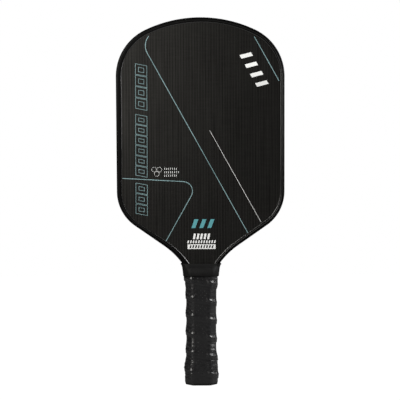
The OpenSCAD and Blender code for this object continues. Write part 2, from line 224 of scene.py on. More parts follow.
class Nodes:
    """Short names for building a procedural material."""

    def __init__(self, name):
        self.material = bpy.data.materials.new(name)
        self.material.use_nodes = True
        self.tree = self.material.node_tree
        self.shader = self.tree.nodes["Principled BSDF"]
        coords = self.tree.nodes.new("ShaderNodeTexCoord")
        self.place = coords.outputs["Object"]
        self.facing = coords.outputs["Normal"]

    def link(self, source, target):
        if hasattr(source, "links") or hasattr(source, "default_value"):
            self.tree.links.new(source, target)
        else:
            target.default_value = source

    def scaled(self, x, y, z):
        node = self.tree.nodes.new("ShaderNodeMapping")
        node.inputs["Scale"].default_value = (x, y, z)
        self.link(self.place, node.inputs["Vector"])
        return node.outputs["Vector"]

    def noise(self, vector, scale, detail=3.0, rough=0.5, distort=0.0):
        node = self.tree.nodes.new("ShaderNodeTexNoise")
        self.link(vector, node.inputs["Vector"])
        node.inputs["Scale"].default_value = scale
        node.inputs["Detail"].default_value = detail
        node.inputs["Roughness"].default_value = rough
        node.inputs["Distortion"].default_value = distort
        return node.outputs["Fac"]

    def wave(self, axis, period, distort=0.0, detail_scale=1.0):
        """A sine along an axis, 0 to 1, one cycle per period."""
        node = self.tree.nodes.new("ShaderNodeTexWave")
        node.bands_direction = axis
        self.link(self.place, node.inputs["Vector"])
        node.inputs["Scale"].default_value = math.pi / 10 / period
        node.inputs["Distortion"].default_value = distort
        node.inputs["Detail Scale"].default_value = detail_scale
        return node.outputs["Fac"]

    def voronoi(self, vector, scale):
        node = self.tree.nodes.new("ShaderNodeTexVoronoi")
        self.link(vector, node.inputs["Vector"])
        node.inputs["Scale"].default_value = scale
        return node.outputs["Distance"]

    def math(self, kind, a, b=0.0, clamp=False):
        node = self.tree.nodes.new("ShaderNodeMath")
        node.operation = kind
        node.use_clamp = clamp
        self.link(a, node.inputs[0])
        self.link(b, node.inputs[1])
        return node.outputs[0]

    def vector(self, kind, a, b=(0.0, 0.0, 0.0)):
        node = self.tree.nodes.new("ShaderNodeVectorMath")
        node.operation = kind
        self.link(a, node.inputs[0])
        self.link(b, node.inputs[1])
        return node.outputs["Value" if kind == "DOT_PRODUCT" else "Vector"]

    def ramp(self, value, low, high, to_low=0.0, to_high=1.0):
        node = self.tree.nodes.new("ShaderNodeMapRange")
        self.link(value, node.inputs["Value"])
        node.inputs["From Min"].default_value = low
        node.inputs["From Max"].default_value = high
        node.inputs["To Min"].default_value = to_low
        node.inputs["To Max"].default_value = to_high
        return node.outputs["Result"]

    def spread(self, value, to_low=0.0, to_high=1.0):
        """Stretches a noise, which mostly lies between 0.3 and 0.7, over the given range."""
        return self.ramp(value, 0.3, 0.7, to_low, to_high)

    def mix(self, factor, a, b):
        node = self.tree.nodes.new("ShaderNodeMix")
        node.data_type = "RGBA"
        self.link(factor, node.inputs["Factor"])
        for value, name in ((a, "A"), (b, "B")):
            socket = [s for s in node.inputs if s.name == name and s.type == "RGBA"][0]
            if isinstance(value, tuple):
                socket.default_value = (*value, 1.0)
            else:
                self.link(value, socket)
        return [s for s in node.outputs if s.type == "RGBA"][0]

    def axis(self, name):
        node = self.tree.nodes.new("ShaderNodeSeparateXYZ")
        self.link(self.place, node.inputs[0])
        return node.outputs[name]

    def bump(self, height, distance, strength=1.0, below=None):
        node = self.tree.nodes.new("ShaderNodeBump")
        node.inputs["Distance"].default_value = distance
        node.inputs["Strength"].default_value = strength
        self.link(height, node.inputs["Height"])
        if below is not None:
            self.link(below, node.inputs["Normal"])
        return node.outputs["Normal"]

    def finish(self, colour, rough, normal=None, specular=0.5):
        if isinstance(colour, tuple):
            self.shader.inputs["Base Color"].default_value = (*colour, 1.0)
        else:
            self.link(colour, self.shader.inputs["Base Color"])
        self.link(rough, self.shader.inputs["Roughness"])
        self.link(specular, self.shader.inputs["Specular IOR Level"])
        if normal is not None:
            self.link(normal, self.shader.inputs["Normal"])
        return self.material


WEAVE_PITCH = 1.15 * MM


def carbon_material():
    """Raw carbon: upright tows of uneven shade under a fine woven peel texture and grit."""
    n = Nodes("carbon_face")
    tows = n.noise(n.scaled(1.0, 0.0, 0.02), 620.0, 2.0, 0.6)
    cords = n.wave("X", 3.1 * MM, 0.5, 2.0)
    patches = n.noise(n.place, 14.0, 3.0)
    rungs = n.noise(n.scaled(0.10, 0.0, 1.0), 480.0, 2.0, 0.6)
    weft = n.wave("Z", WEAVE_PITCH, 0.6, 3.0)
    warp = n.wave("X", WEAVE_PITCH, 0.6, 3.0)
    weave = n.math("MULTIPLY", weft, warp)
    grit = n.noise(n.place, 5200.0, 2.0, 0.7)
    shade = n.math("ADD", n.spread(tows, -0.26, 0.26), n.ramp(cords, 0.0, 1.0, -0.17, 0.17))
    shade = n.math("ADD", shade, n.spread(rungs, -0.07, 0.07))
    shade = n.math("ADD", shade, n.spread(patches, -0.08, 0.08))
    shade = n.math("ADD", shade, n.ramp(weave, 0.0, 1.0, -0.10, 0.14))
    level = n.math("ADD", shade, 0.45, True)
    colour = n.mix(level, (0.0010, 0.0010, 0.0010), (0.0068, 0.0066, 0.0062))
    rough = n.ramp(n.math("ADD", tows, grit), 0.6, 1.4, 0.54, 0.42)
    normal = n.bump(weave, 0.03 * MM, 0.8)
    normal = n.bump(grit, 0.02 * MM, 0.7, normal)
    normal = n.bump(tows, 0.05 * MM, 0.7, normal)
    n.shader.inputs["Specular Tint"].default_value = (1.0, 0.98, 0.93, 1.0)
    return n.finish(colour, rough, normal, n.ramp(level, 0.0, 1.0, 0.125, 0.305))


def guard_material():
    """Black moulded strip with fine grain and scuffs: dull outside, polished on its inner bevel."""
    n = Nodes("edge_guard")
    away = n.vector("NORMALIZE", n.vector("SUBTRACT", n.place, (0.0, 0.0, HEAD_MIDDLE_Z)))
    inner = n.ramp(n.vector("DOT_PRODUCT", n.facing, away), -0.05, -0.40)
    grain = n.noise(n.place, 2600.0, 2.0, 0.6)
    soft = n.noise(n.place, 60.0, 3.0)
    scuffs = n.noise(n.scaled(1.0, 3.0, 1.0), 420.0, 4.0, 0.65)
    marks = n.ramp(scuffs, 0.62, 0.72)
    colour = n.mix(n.math("MULTIPLY", marks, 0.35), (0.0015, 0.0015, 0.0015), (0.008, 0.008, 0.008))
    rough = n.math("ADD", n.spread(soft, 0.40, 0.48), n.math("MULTIPLY", marks, 0.14))
    rough = n.math("SUBTRACT", rough, n.math("MULTIPLY", inner, 0.12))
    normal = n.bump(grain, 0.012 * MM, 0.6)
    return n.finish(colour, rough, normal, n.ramp(inner, 0.0, 1.0, 0.05, 0.85))


def grip_material():
    """Perforated synthetic leather: fine pebble grain, shinier where the hand has rubbed it."""
    n = Nodes("grip_skin")
    pebble = n.voronoi(n.place, 1500.0)
    fine = n.noise(n.place, 4200.0, 2.0, 0.6)
    creases = n.noise(n.scaled(1.0, 1.0, 2.2), 160.0, 4.0, 0.6, 0.4)
    rubbed = n.noise(n.place, 55.0, 3.0)
    colour = n.mix(n.spread(rubbed), (0.0027, 0.0027, 0.0034), (0.0052, 0.0051, 0.0058))
    rough = n.math("ADD", n.spread(rubbed, 0.38, 0.32), n.spread(fine, -0.03, 0.04))
    normal = n.bump(creases, 0.10 * MM, 0.4)
    normal = n.bump(pebble, 0.05 * MM, 0.6, normal)
    normal = n.bump(fine, 0.012 * MM, 0.6, normal)
    return n.finish(colour, rough, normal, 0.50)


def rubber_material():
    """Matte black rubber with a dusty bloom and faint stretch lines."""
    n = Nodes("collar_rubber")
    fine = n.noise(n.place, 2400.0, 3.0, 0.7)
    bloom = n.noise(n.place, 120.0, 4.0)
    stretch = n.noise(n.scaled(1.0, 1.0, 0.15), 260.0, 3.0)
    colour = n.mix(n.ramp(bloom, 0.35, 0.7), (0.0022, 0.0022, 0.0022), (0.0042, 0.0042, 0.0041))
    rough = n.spread(fine, 0.55, 0.72)
    normal = n.bump(stretch, 0.10 * MM, 0.4)
    normal = n.bump(fine, 0.02 * MM, 0.7, normal)
    return n.finish(colour, rough, normal, 0.14)


def plastic_material(name, low, high, rough=0.35, grain=2000.0):
    """Moulded plastic with a little variation in shade and gloss."""
    n = Nodes(name)
    soft = n.noise(n.place, 90.0, 3.0)
    fine = n.noise(n.place, grain, 2.0, 0.6)
    colour = n.mix(n.spread(soft), low, high)
    gloss = n.spread(soft, rough - 0.05, rough + 0.05)
    return n.finish(colour, gloss, n.bump(fine, 0.015 * MM, 0.6), 0.5)


# The marks just above the throat
BLOCK_HALF_W = 20 * MM
BLOCK_TOP_Z = 189 * MM


def ink_material(name, low, high, block=None):
    """Screen ink, slightly uneven over the weave. The marks just above the throat may differ in shade."""
    n = Nodes(name)
    uneven = n.noise(n.place, 900.0, 3.0, 0.6)
    cloud = n.noise(n.place, 28.0, 2.0)
    shade = n.math("ADD", n.spread(uneven, -0.25, 0.25), n.ramp(cloud, 0.35, 0.65))
    colour = n.mix(n.math("ADD", shade, 0.0, True), low, high)
    if block is not None:
        beside = n.math("LESS_THAN", n.math("ABSOLUTE", n.axis("X")), BLOCK_HALF_W)
        under = n.math("LESS_THAN", n.axis("Z"), BLOCK_TOP_Z)
        colour = n.mix(n.math("MULTIPLY", beside, under), colour, block)
    weave = n.math("MULTIPLY", n.wave("Z", WEAVE_PITCH), n.wave("X", WEAVE_PITCH))
    return n.finish(colour, n.spread(uneven, 0.42, 0.55), n.bump(weave, 0.02 * MM, 0.7), 0.4)


def weave_material(name, low, high, pitch, rough):
    """Woven cloth in resin."""
    n = Nodes(name)
    cross = n.math("MULTIPLY", n.wave("Z", pitch, 0.3), n.wave("X", pitch, 0.3))
    cloud = n.noise(n.place, 40.0, 3.0)
    colour = n.mix(n.math("ADD", cross, n.spread(cloud, -0.2, 0.2), True), low, high)
    return n.finish(colour, rough, n.bump(cross, 0.05 * MM, 0.8), 0.5)


def foam_material(name, low, high, cell):
    """Foam with small open cells."""
    n = Nodes(name)
    cells = n.voronoi(n.place, 1.0 / cell)
    cloud = n.noise(n.place, 80.0, 3.0)
    shade = n.math("ADD", n.ramp(cells, 0.0, 0.9), n.spread(cloud, -0.2, 0.2), True)
    colour = n.mix(shade, low, high)
    return n.finish(colour, 0.8, n.bump(cells, 0.3 * cell, 0.7), 0.3)


def steel_material():
    """Flat steel wire, drawn lengthways."""
    n = Nodes("staple_wire")
    drawn = n.noise(n.scaled(0.05, 1.0, 1.0), 4000.0, 2.0)
    n.shader.inputs["Metallic"].default_value = 1.0
    colour = n.mix(drawn, (0.42, 0.43, 0.44), (0.66, 0.67, 0.69))
    return n.finish(colour, n.spread(drawn, 0.25, 0.40), n.bump(drawn, 0.01 * MM, 0.6))


# ---------------------------------------------------------------- edge guard

LIP_W = 5 * MM
WEB_T = 1.2 * MM
SHOULDER_W = 2.9 * MM
SHOULDER_DROP = 0.22 * MM
CORNER_R = 2.4 * MM
CROWN_BULGE = 0.12 * MM
SEAT_GAP = 0.02 * MM
RUN_STEP = 1.6 * MM
LIP_WANDER = 0.16 * MM
WANDERS_PER_M = 42
REAR_EXTRA_SHARE = 0.3
# The hand-bent lip is not equally wide all round. In mm by height, on the left and on the right:
# its extra width, and the width of the bevel along its inner edge
LIP_HEIGHTS = [124, 150, 176, 215, 260, 350, 400]
LIP_EXTRA_LEFT = [1.9, 1.2, 0.1, 0.8, 1.5, 1.5, 1.1]
LIP_EXTRA_RIGHT = [0.4, 0.5, 0.6, 0.2, 0.0, 0.0, 0.9]
BEVEL_LEFT = [0.66, 0.56, 0.24, 0.32, 0.40, 0.45, 0.75]
BEVEL_RIGHT = [0.90, 0.80, 0.68, 0.72, 0.75, 0.70, 0.60]


def guard_profile():
    """The C section: inset, height, how far the point follows the lip's edge, and the bevel's share."""
    top = GUARD_HIGH.y
    web_h = top - CORNER_R
    lip = top - SHOULDER_DROP
    half = []
    # The bulging web, then the rounded outer corner
    for i in range(5):
        y = web_h * i / 4
        half.append((-CROWN_BULGE * (1 - (y / web_h) ** 2), y, 0.0, 0.0))
    for i in range(1, 8):
        a = math.radians(90 * i / 7)
        half.append((CORNER_R * (1 - math.cos(a)), web_h + CORNER_R * math.sin(a), 0.0, 0.0))
    # A small step down from the shoulder to the lip
    half.append((SHOULDER_W - 0.25 * MM, top, 0.3, 0.0))
    half.append((SHOULDER_W, top - 0.04 * MM, 0.4, 0.0))
    half.append((SHOULDER_W + 0.3 * MM, lip + 0.02 * MM, 0.5, 0.0))
    half.append((SHOULDER_W + 0.5 * MM, lip, 0.6, 0.0))
    # The bevel, rounded where it starts, and the lip's thin inner edge
    drop = lip - FACE_Y - 0.06 * MM
    for along, down in ((-0.08, 0.0), (0.04, 0.04), (0.3, 0.26), (0.65, 0.62), (0.92, 0.92)):
        half.append((LIP_W, lip - drop * down, 1.0, 1 - along))
    half.append((LIP_W, FACE_Y + 0.06 * MM, 1.0, 0.0))
    # Back along the face to the inside of the web
    half.append((LIP_W - 0.06 * MM, FACE_Y + SEAT_GAP, 1.0, 0.0))
    half.append((LIP_W - 1.2 * MM, FACE_Y + SEAT_GAP, 0.3, 0.0))
    half.append((WEB_T, FACE_Y + SEAT_GAP, 0.0, 0.0))
    half.append((WEB_T, FACE_Y * 0.5, 0.0, 0.0))
    rear = [(d, -y, f, b) for d, y, f, b in reversed(half[1:])]
    return half + [(WEB_T, 0.0, 0.0, 0.0)] + rear


def by_height(z, values):
    """A length in metres at height z from a list in mm that goes with LIP_HEIGHTS."""
    return float(np.interp(z / MM, LIP_HEIGHTS, values)) * MM


def edge_guard():
    """The strip, swept round the outline with a lip that wanders a little."""
    rings = []
    profile = guard_profile()
    for x, z, nx, nz in outline_run(RUN_STEP):
        ring = []
        extra = by_height(z, LIP_EXTRA_LEFT if x < 0 else LIP_EXTRA_RIGHT)
        bevel = by_height(z, BEVEL_LEFT if x < 0 else BEVEL_RIGHT)
        for inset, y, follow, share in profile:
            side = 5.0 if y < 0 else -5.0
            spot = Vector((x * WANDERS_PER_M, side, z * WANDERS_PER_M))
            wander = noise.noise(spot) * LIP_WANDER
            widening = extra if y < 0 else REAR_EXTRA_SHARE * extra
            d = inset - share * bevel + follow * (wander + widening)
            ring.append((x - nx * d, y, z - nz * d))
        rings.append(ring)
    return ring_mesh("edge_guard_strip", rings, caps=True)


# ---------------------------------------------------------------- handle sections

HANDLE_HX = 14.7 * MM
HANDLE_HY = 12.2 * MM
HANDLE_CUT = 6 * MM
BUTT_FLARE = 1.7 * MM
BUTT_FLARE_LOW = 15 * MM
BUTT_FLARE_LENGTH = 27 * MM
THROAT_FLARE = 2.0 * MM
THROAT_FLARE_LOW = 96 * MM
THROAT_FLARE_LENGTH = 30 * MM


def octagon_points(hx, hy, cut, r, per_corner=6):
    """Rounded octagon, anticlockwise seen from above, from the rear end of its right flat."""
    slope = (hx + hy - cut) / math.sqrt(2)
    points = []
    for k in range(8):
        a = math.radians(45 * k)
        b = a + math.radians(45)
        da = (slope if k % 2 else hx if k % 4 == 0 else hy) - r
        db = (slope if (k + 1) % 2 else hx if (k + 1) % 4 == 0 else hy) - r
        cx = (da * math.sin(b) - db * math.sin(a)) / math.sin(math.radians(45))
        cy = (db * math.cos(a) - da * math.cos(b)) / math.sin(math.radians(45))
        for i in range(per_corner + 1):
            t = a + (b - a) * i / per_corner
            points.append((cx + r * math.cos(t), cy + r * math.sin(t)))
    return points


def section_ring(hx, hy, cut, r, count):
    """count points and outward normals, evenly spaced round a rounded octagon."""
    # Clockwise seen from above, from the middle of the front flat
    loop = octagon_points(hx, hy, cut, r)[::-1]
    middle = (0.0, -hy)
    right = [i for i, point in enumerate(loop) if point[0] > 0]
    start = min(right, key=lambda i: math.dist(loop[i], middle))
    loop = [middle] + loop[start + 1:] + loop[:start + 1] + [middle]
    pts = np.array(loop)
    seg = np.hypot(*(pts[1:] - pts[:-1]).T)
    run = np.concatenate([[0.0], np.cumsum(seg)])
    where = np.linspace(0.0, run[-1], count, endpoint=False)
    xs = np.interp(where, run, pts[:, 0])
    ys = np.interp(where, run, pts[:, 1])
    ring = np.stack([xs, ys], 1)
    along = np.roll(ring, -1, 0) - np.roll(ring, 1, 0)
    normal = np.stack([-along[:, 1], along[:, 0]], 1)
    normal /= np.linalg.norm(normal, axis=1, keepdims=True)
    return ring, normal


def swell(z):
    """How far the handle swells at height z, sideways and towards its front and rear."""
    butt = BUTT_FLARE * (1 - ease((z - BUTT_FLARE_LOW) / BUTT_FLARE_LENGTH))
    throat = THROAT_FLARE * ease((z - THROAT_FLARE_LOW) / THROAT_FLARE_LENGTH)
    return butt + throat, butt + throat / 4


def handle_ring(z, t, count, corner=1.5 * MM):
    """The handle's section at height z, grown by t all round."""
    sx, sy = swell(z)
    cut = HANDLE_CUT + (2 - math.sqrt(2)) * t
    return section_ring(HANDLE_HX + sx + t, HANDLE_HY + sy + t, cut, corner + t, count)


# ---------------------------------------------------------------- grip

# Rise of the tape in one turn, and the height at which turn 0 starts, in the middle of the front
PITCH = 20.35 * MM
SEAM_Z = 10.9 * MM
TAPE_T = 2.1 * MM
# The lap over the turn below: its height, its width, and how far up the tape its fall reaches
STEP_H = 0.85 * MM
STEP_SHARE_ON_FLATS = 0.35
OVERLAP_W = 4.3 * MM
FALL_W = 17 * MM
FALL_SHARE = 0.45
FADE_ON_FLATS = 10 * MM
FADE_ON_BEVELS = 2.4 * MM
# The ridge along the lap's upper edge and the finger ribs above it
RIDGE_W = 1.5 * MM
RIDGE_ON_FLATS = 0.05 * MM
RIDGE_ON_BEVELS = 0.50 * MM
RIB_H = 0.16 * MM
RIB_PITCH = 4.7 * MM
BLOCKS_ROUND = 44
# Edges of the rows of blocks across one turn, as heights above the turn's lower edge
BLOCK_EDGES = [0.2, 2.4, 4.3, 5.7, 8.1, 10.6, 13.1, 15.6, 18.1, 20.3]
RIDGE_BLOCK = 2
HOLE_R = 0.52 * MM
# Radius and depth of a perforation's loops, as shares of its own
HOLE_LOOPS = ((1.25, 0.0), (1.0, 0.06), (0.92, 0.5), (0.8, 1.0))
HOLE_DEPTH = 0.75 * MM
TAPE_CORNER_R = 4.8 * MM
RING_COUNT = 720
SURFACE_LEVELS = 120
CORNER_BLUR = 0.016


def corner_share(normals):
    """1 where the tape turns an edge of the octagon, falling to 0 on the flats."""
    angle = np.degrees(np.arctan2(normals[:, 1], normals[:, 0]))
    off = np.abs((angle + 22.5) % 45 - 22.5) / 22.5
    width = round(len(off) * CORNER_BLUR)
    kernel = np.exp(-0.5 * (np.arange(-3 * width, 3 * width + 1) / width) ** 2)
    ring = np.convolve(np.concatenate([off, off, off]), kernel / kernel.sum(), "same")
    ring = ring[len(off):2 * len(off)]
    return np.clip(ring / ring.max(), 0, 1)


class GripSurface:
    """Places a point of the wound tape: turns t up the handle, w above the tape's edge."""

    def __init__(self):
        self.heights = np.linspace(0.0, GRIP_HIGH.z + 4 * MM, SURFACE_LEVELS)
        self.rings = [handle_ring(z, TAPE_T, RING_COUNT, TAPE_CORNER_R) for z in self.heights]
        middle = self.rings[len(self.rings) // 2]
        self.corner = corner_share(middle[1])
        # 1 round the bevels and sides, 0 on the front and rear flats
        self.turned = [fade(abs(x), 5, 10) for x, _ in middle[0]]
        # 1 on the four bevels, 0 on the flats
        slant = np.abs(middle[1][:, 0] * middle[1][:, 1]) * 2
        self.bevel = np.clip(np.maximum(slant, self.corner * 0.8), 0, 1)
        angle = np.arctan2(middle[0][:, 1], middle[0][:, 0])
        order = np.argsort(angle)
        self.angle, self.corner_by_angle = angle[order], self.corner[order]

    def corner_at(self, x, y):
        """The corner share in the direction of (x, y)."""
        return float(np.interp(math.atan2(y, x), self.angle, self.corner_by_angle, period=2 * math.pi))

    def base(self, u, z):
        """Point and outward normal under the tape's rises, u turns round and z up."""
        i = (u % 1.0) * RING_COUNT
        i0 = int(i) % RING_COUNT
        i1 = (i0 + 1) % RING_COUNT
        f = i - int(i)
        k = min(len(self.heights) - 2.0, max(0.0, z / self.heights[1]))
        k0 = int(k)
        g = k - k0
        out = []
        for part in (0, 1):
            low = self.rings[k0][part][i0] * (1 - f) + self.rings[k0][part][i1] * f
            high = self.rings[k0 + 1][part][i0] * (1 - f) + self.rings[k0 + 1][part][i1] * f
            out.append(low * (1 - g) + high * g)
        return out

    def share(self, values, u):
        """The value of a list kept for one turn, at u turns round."""
        return float(values[int((u % 1.0) * RING_COUNT) % RING_COUNT])

    def step(self, u):
        """Height of the step up to the next turn: pulled flatter on the front and rear."""
        return STEP_H * between(STEP_SHARE_ON_FLATS, 1.0, self.share(self.turned, u))

    def rise(self, u, w):
        """How far the tape stands out: a lap over the turn below, then a ridge, then a long fall."""
        bevel = self.share(self.bevel, u)
        w = max(0.0, w)
        past_lap = w - OVERLAP_W
        ridge = between(RIDGE_ON_FLATS, RIDGE_ON_BEVELS, bevel) * math.exp(-((past_lap / RIDGE_W) ** 2))
        edge = 1 - smoothstep(past_lap / between(FADE_ON_FLATS, FADE_ON_BEVELS, bevel))
        lap = between(edge, 1 - smoothstep(w / FALL_W), FALL_SHARE)
        ribs = RIB_H * bevel * (1 + math.cos(2 * math.pi * past_lap / RIB_PITCH))
        return self.step(u) * lap + ridge + ribs

    def point(self, t, w, inset=0.0, step_share=0.0):
        z = SEAM_Z + PITCH * t + w
        point, normal = self.base(t, z)
        rise = self.rise(t, w) - inset - step_share * self.step(t)
        # The first turn lies flush on the cap
        rise *= fade(z, 1, 8)
        x, y = point + normal * rise
        return Vector((x, y, z)), Vector((normal[0], normal[1], 0.0))


def tape_rows():
    """Rows across one turn as (distance above the lower edge, inset, inset as a share of the step)."""
    rows = [(-0.10 * MM, 0.0, 0.72), (-0.12 * MM, 0.0, 0.22), (BLOCK_EDGES[0] * MM, 0.03 * MM, 0.0)]
    for low, high in zip(BLOCK_EDGES, BLOCK_EDGES[1:]):
        rows.append(((low + high) / 2 * MM, 0.0, 0.0))
        rows.append((high * MM, 0.0, 0.0))
    rows[-1] = (rows[-1][0], 0.0, 0.16)
    return rows


# The rows that form the step, below the rows of blocks
STEP_ROWS = 2


def grip_wrap():
    """The wound tape: one grid of blocks that climbs turn by turn, with a perforation in every other."""
    surface = GripSurface()
    per_turn = 2 * BLOCKS_ROUND
    first = math.floor((GRIP_LOW.z - SEAM_Z) / PITCH) - 1
    last = math.ceil((GRIP_HIGH.z - SEAM_Z) / PITCH)
    columns = range(first * per_turn, last * per_turn + 1)
    rows = tape_rows()
    verts = []
    index = {}
    for c in columns:
        for r, row in enumerate(rows):
            index[c, r] = len(verts)
            verts.append(surface.point(c / per_turn, *row)[0])
    faces = []

    def quad(a, b, c, d):
        faces.append((index[a], index[b], index[c], index[d]))

    def hole(c, r):
        """A 2 by 2 block of cells with a round perforation sunk in its middle."""
        steps = ((0, 0), (1, 0), (2, 0), (2, 1), (2, 2), (1, 2), (0, 2), (0, 1))
        w_mid = (rows[r][0] + rows[r + 2][0]) / 2
        centre, normal = surface.point((c + 1) / per_turn, w_mid)
        ahead = surface.point((c + 2) / per_turn, w_mid)[0] - surface.point(c / per_turn, w_mid)[0]
        along = ahead.normalized()
        across = normal.cross(along).normalized()
        if across.z < 0:
            across = -across
        loops = [[index[c + i, r + j] for i, j in steps]]
        for radius, depth in HOLE_LOOPS:
            loop = []
            for i in range(8):
                a = math.radians(225 + 45 * i)
                offset = along * math.cos(a) + across * math.sin(a)
                loop.append(len(verts))
                verts.append(centre + offset * HOLE_R * radius - normal * HOLE_DEPTH * depth)
            loops.append(loop)
        for low, high in zip(loops, loops[1:]):
            for i in range(8):
                j = (i + 1) % 8
                faces.append((low[i], low[j], high[j], high[i]))
        faces.append(tuple(loops[-1]))

    top = len(rows) - 1
    for c in columns[:-1]:
        # The step from the turn below up to this turn's lower edge
        below = c - per_turn
        if below in columns and below + 1 in columns:
            faces.append((index[below, top], index[below + 1, top], index[c + 1, 1], index[c, 1]))
        quad((c, 1), (c + 1, 1), (c + 1, 0), (c, 0))
        quad((c, 0), (c + 1, 0), (c + 1, 2), (c, 2))
    row_count = len(BLOCK_EDGES) - 1
    for block in range(first * BLOCKS_ROUND, last * BLOCKS_ROUND):
        for row in range(row_count):
            c = 2 * block
            r = STEP_ROWS + 2 * row
            z = SEAM_Z + PITCH * c / per_turn + rows[r][0]
            clear = GRIP_LOW.z + 4 * MM < z < GRIP_HIGH.z - 3 * MM
            if (block + row) % 2 == 0 and row not in (0, RIDGE_BLOCK, row_count - 1) and clear:
                hole(c, r)
                continue
            for i in (0, 1):
                for j in (0, 1):
                    quad((c + i, r + j), (c + i + 1, r + j), (c + i + 1, r + j + 1), (c + i, r + j + 1))
    obj = new_object("grip_wrap", verts, faces)
    recalc_normals(obj)
    modifier = obj.modifiers.new("smooth", "SUBSURF")
    modifier.levels = modifier.render_levels = 1
    apply_modifiers(obj)
    crumple(obj, surface)
    close_tube(obj)
    return obj


# Never so far in that the backing would show
CRUMPLE_LOWEST = -0.22 * MM


def crumple(obj, surface):
    """Wrinkles where the tape turns the octagon's edges, strongest by the collar and the butt."""
    mesh = obj.data
    for v in mesh.vertices:
        p = v.co
        out = Vector((p.x, p.y, 0.0)).normalized()
        collar = fade(p.z, 100, 116)
        butt = fade(p.z, 6, 16) * fade(p.z, 36, 26)
        # Soft lumps, and folds that run round the handle, both in mm
        lumps = noise.noise(Vector((p.x * 150, p.y * 150, p.z * 230)))
        lumps *= 0.10 + 0.55 * collar + 0.35 * butt
        folds = 0.5 - abs(noise.noise(Vector((p.x * 90 + 7, p.y * 90, p.z * 360)))) * 2
        folds *= 0.10 + 0.30 * collar + 0.30 * butt
        wrinkles = (lumps + folds) * between(0.25, 1.0, surface.corner_at(p.x, p.y))
        swelling = noise.noise(p * 60) * 0.16
        v.co = p + out * max((wrinkles + swelling) * MM, CRUMPLE_LOWEST)
    mesh.update()


def close_tube(obj):
    """Cuts the winding level at both ends and closes it with an inner wall."""
    bm = bmesh.new()
    bm.from_mesh(obj.data)
    for height, up in ((GRIP_LOW.z, -1.0), (GRIP_HIGH.z, 1.0)):
        everything = bm.verts[:] + bm.edges[:] + bm.faces[:]
        bmesh.ops.bisect_plane(
            bm, geom=everything, dist=1e-7, plane_co=(0, 0, height), plane_no=(0, 0, up), clear_outer=True
        )
    bmesh.ops.remove_doubles(bm, verts=bm.verts, dist=1e-6)
    rims = []
    for height in (GRIP_LOW.z, GRIP_HIGH.z):
        edges = [e for e in bm.edges if e.is_boundary and all(abs(v.co.z - height) < 1e-6 for v in e.verts)]
        grown = bmesh.ops.extrude_edge_only(bm, edges=edges)["geom"]
        sx = swell(height)[0]
        shrink = 1 - (TAPE_T - 0.1 * MM) / (HANDLE_HX + sx + TAPE_T)
        for v in (g for g in grown if isinstance(g, bmesh.types.BMVert)):
            v.co.x *= shrink
            v.co.y *= shrink
        rims.append([g for g in grown if isinstance(g, bmesh.types.BMEdge)])
    bmesh.ops.bridge_loops(bm, edges=rims[0] + rims[1])
    bmesh.ops.recalc_face_normals(bm, faces=bm.faces)
    bm.to_mesh(obj.data)
    bm.free()
    obj.data.polygons.foreach_set("use_smooth", [True] * len(obj.data.polygons))


# ---------------------------------------------------------------- collar


def collar_stations():
    """Sections up the outside, over the rim and down the inside, from the lower edge round to it."""
    low, high = COLLAR_LOW.z, COLLAR_HIGH.z
    grip = (HANDLE_HX + THROAT_FLARE + TAPE_T, HANDLE_HY + THROAT_FLARE / 4 + TAPE_T)
    rim = (COLLAR_HIGH.x, GUARD_HIGH.y + 1.1 * MM)
    # Height and mm above it, half size and mm wider and deeper, then corner cut and radius in mm
    rows = [
        (low, 0.1, grip, 0.55, 0.6, 7.4, 4.2),
        (low, 0.0, grip, 0.95, 1.1, 7.5, 4.4),
        (low, 0.5, grip, 1.35, 1.6, 7.6, 4.6),
        (low, 1.5, grip, 1.5, 1.7, 7.6, 4.8),
        (low, 4.0, grip, 1.7, 1.6, 7.5, 5.2),
        (low, 7.0, grip, 2.1, 0.7, 7.0, 5.4),
        (low, 10.0, grip, 2.55, -1.6, 6.0, 5.0),
        (low, 12.3, rim, 0.35, 0.4, 4.2, 3.6),
        (high, -0.9, rim, 1.10, 0.0, 2.8, 2.6),
        (high, -0.25, rim, 1.15, -0.04, 2.6, 2.5),
        (high, 0.0, rim, 0.8, -0.35, 2.4, 2.3),
        (high, -0.1, rim, -0.1, -0.8, 2.2, 2.1),
        (high, -1.0, rim, -0.65, -1.05, 2.0, 2.0),
        (high, -6.0, grip, 1.0, 0.3, 6.6, 4.0),
        (low, 3.0, grip, 0.55, 0.5, 7.2, 4.2),
    ]
    return [
        (z + up * MM, size[0] + wider * MM, size[1] + deeper * MM, cut * MM, r * MM)
        for z, up, size, wider, deeper, cut, r in rows
    ]


COLLAR_POINTS = 180


def throat_collar():
    """A stretched rubber sleeve with a rolled upper rim and a softly uneven lower lip."""
    rings = []
    for z, hx, hy, cut, r in collar_stations():
        ring, normal = section_ring(hx, hy, cut, r, COLLAR_POINTS)
        lip = fade(z - COLLAR_LOW.z, 5, 0)
        rim = fade(COLLAR_HIGH.z - z, 3, 0)
        points = []
        for (x, y), (nx, ny) in zip(ring, normal):
            lumps = noise.noise(Vector((x * 110, y * 110, z * 60 + 3))) * MM
            ripple = noise.noise(Vector((x * 300, y * 300, 11))) * MM
            out = between(0.10, 0.32, lip) * lumps + 0.06 * rim * ripple
            up = lip * (0.45 * ripple + 0.5 * lumps) + 0.12 * rim * ripple
            points.append((x + nx * out, y + ny * out, z + up))
        rings.append(points)
    return ring_mesh("collar_sleeve", rings, joined_ends=True)


# ---------------------------------------------------------------- butt cap


CAP_POINTS = 128


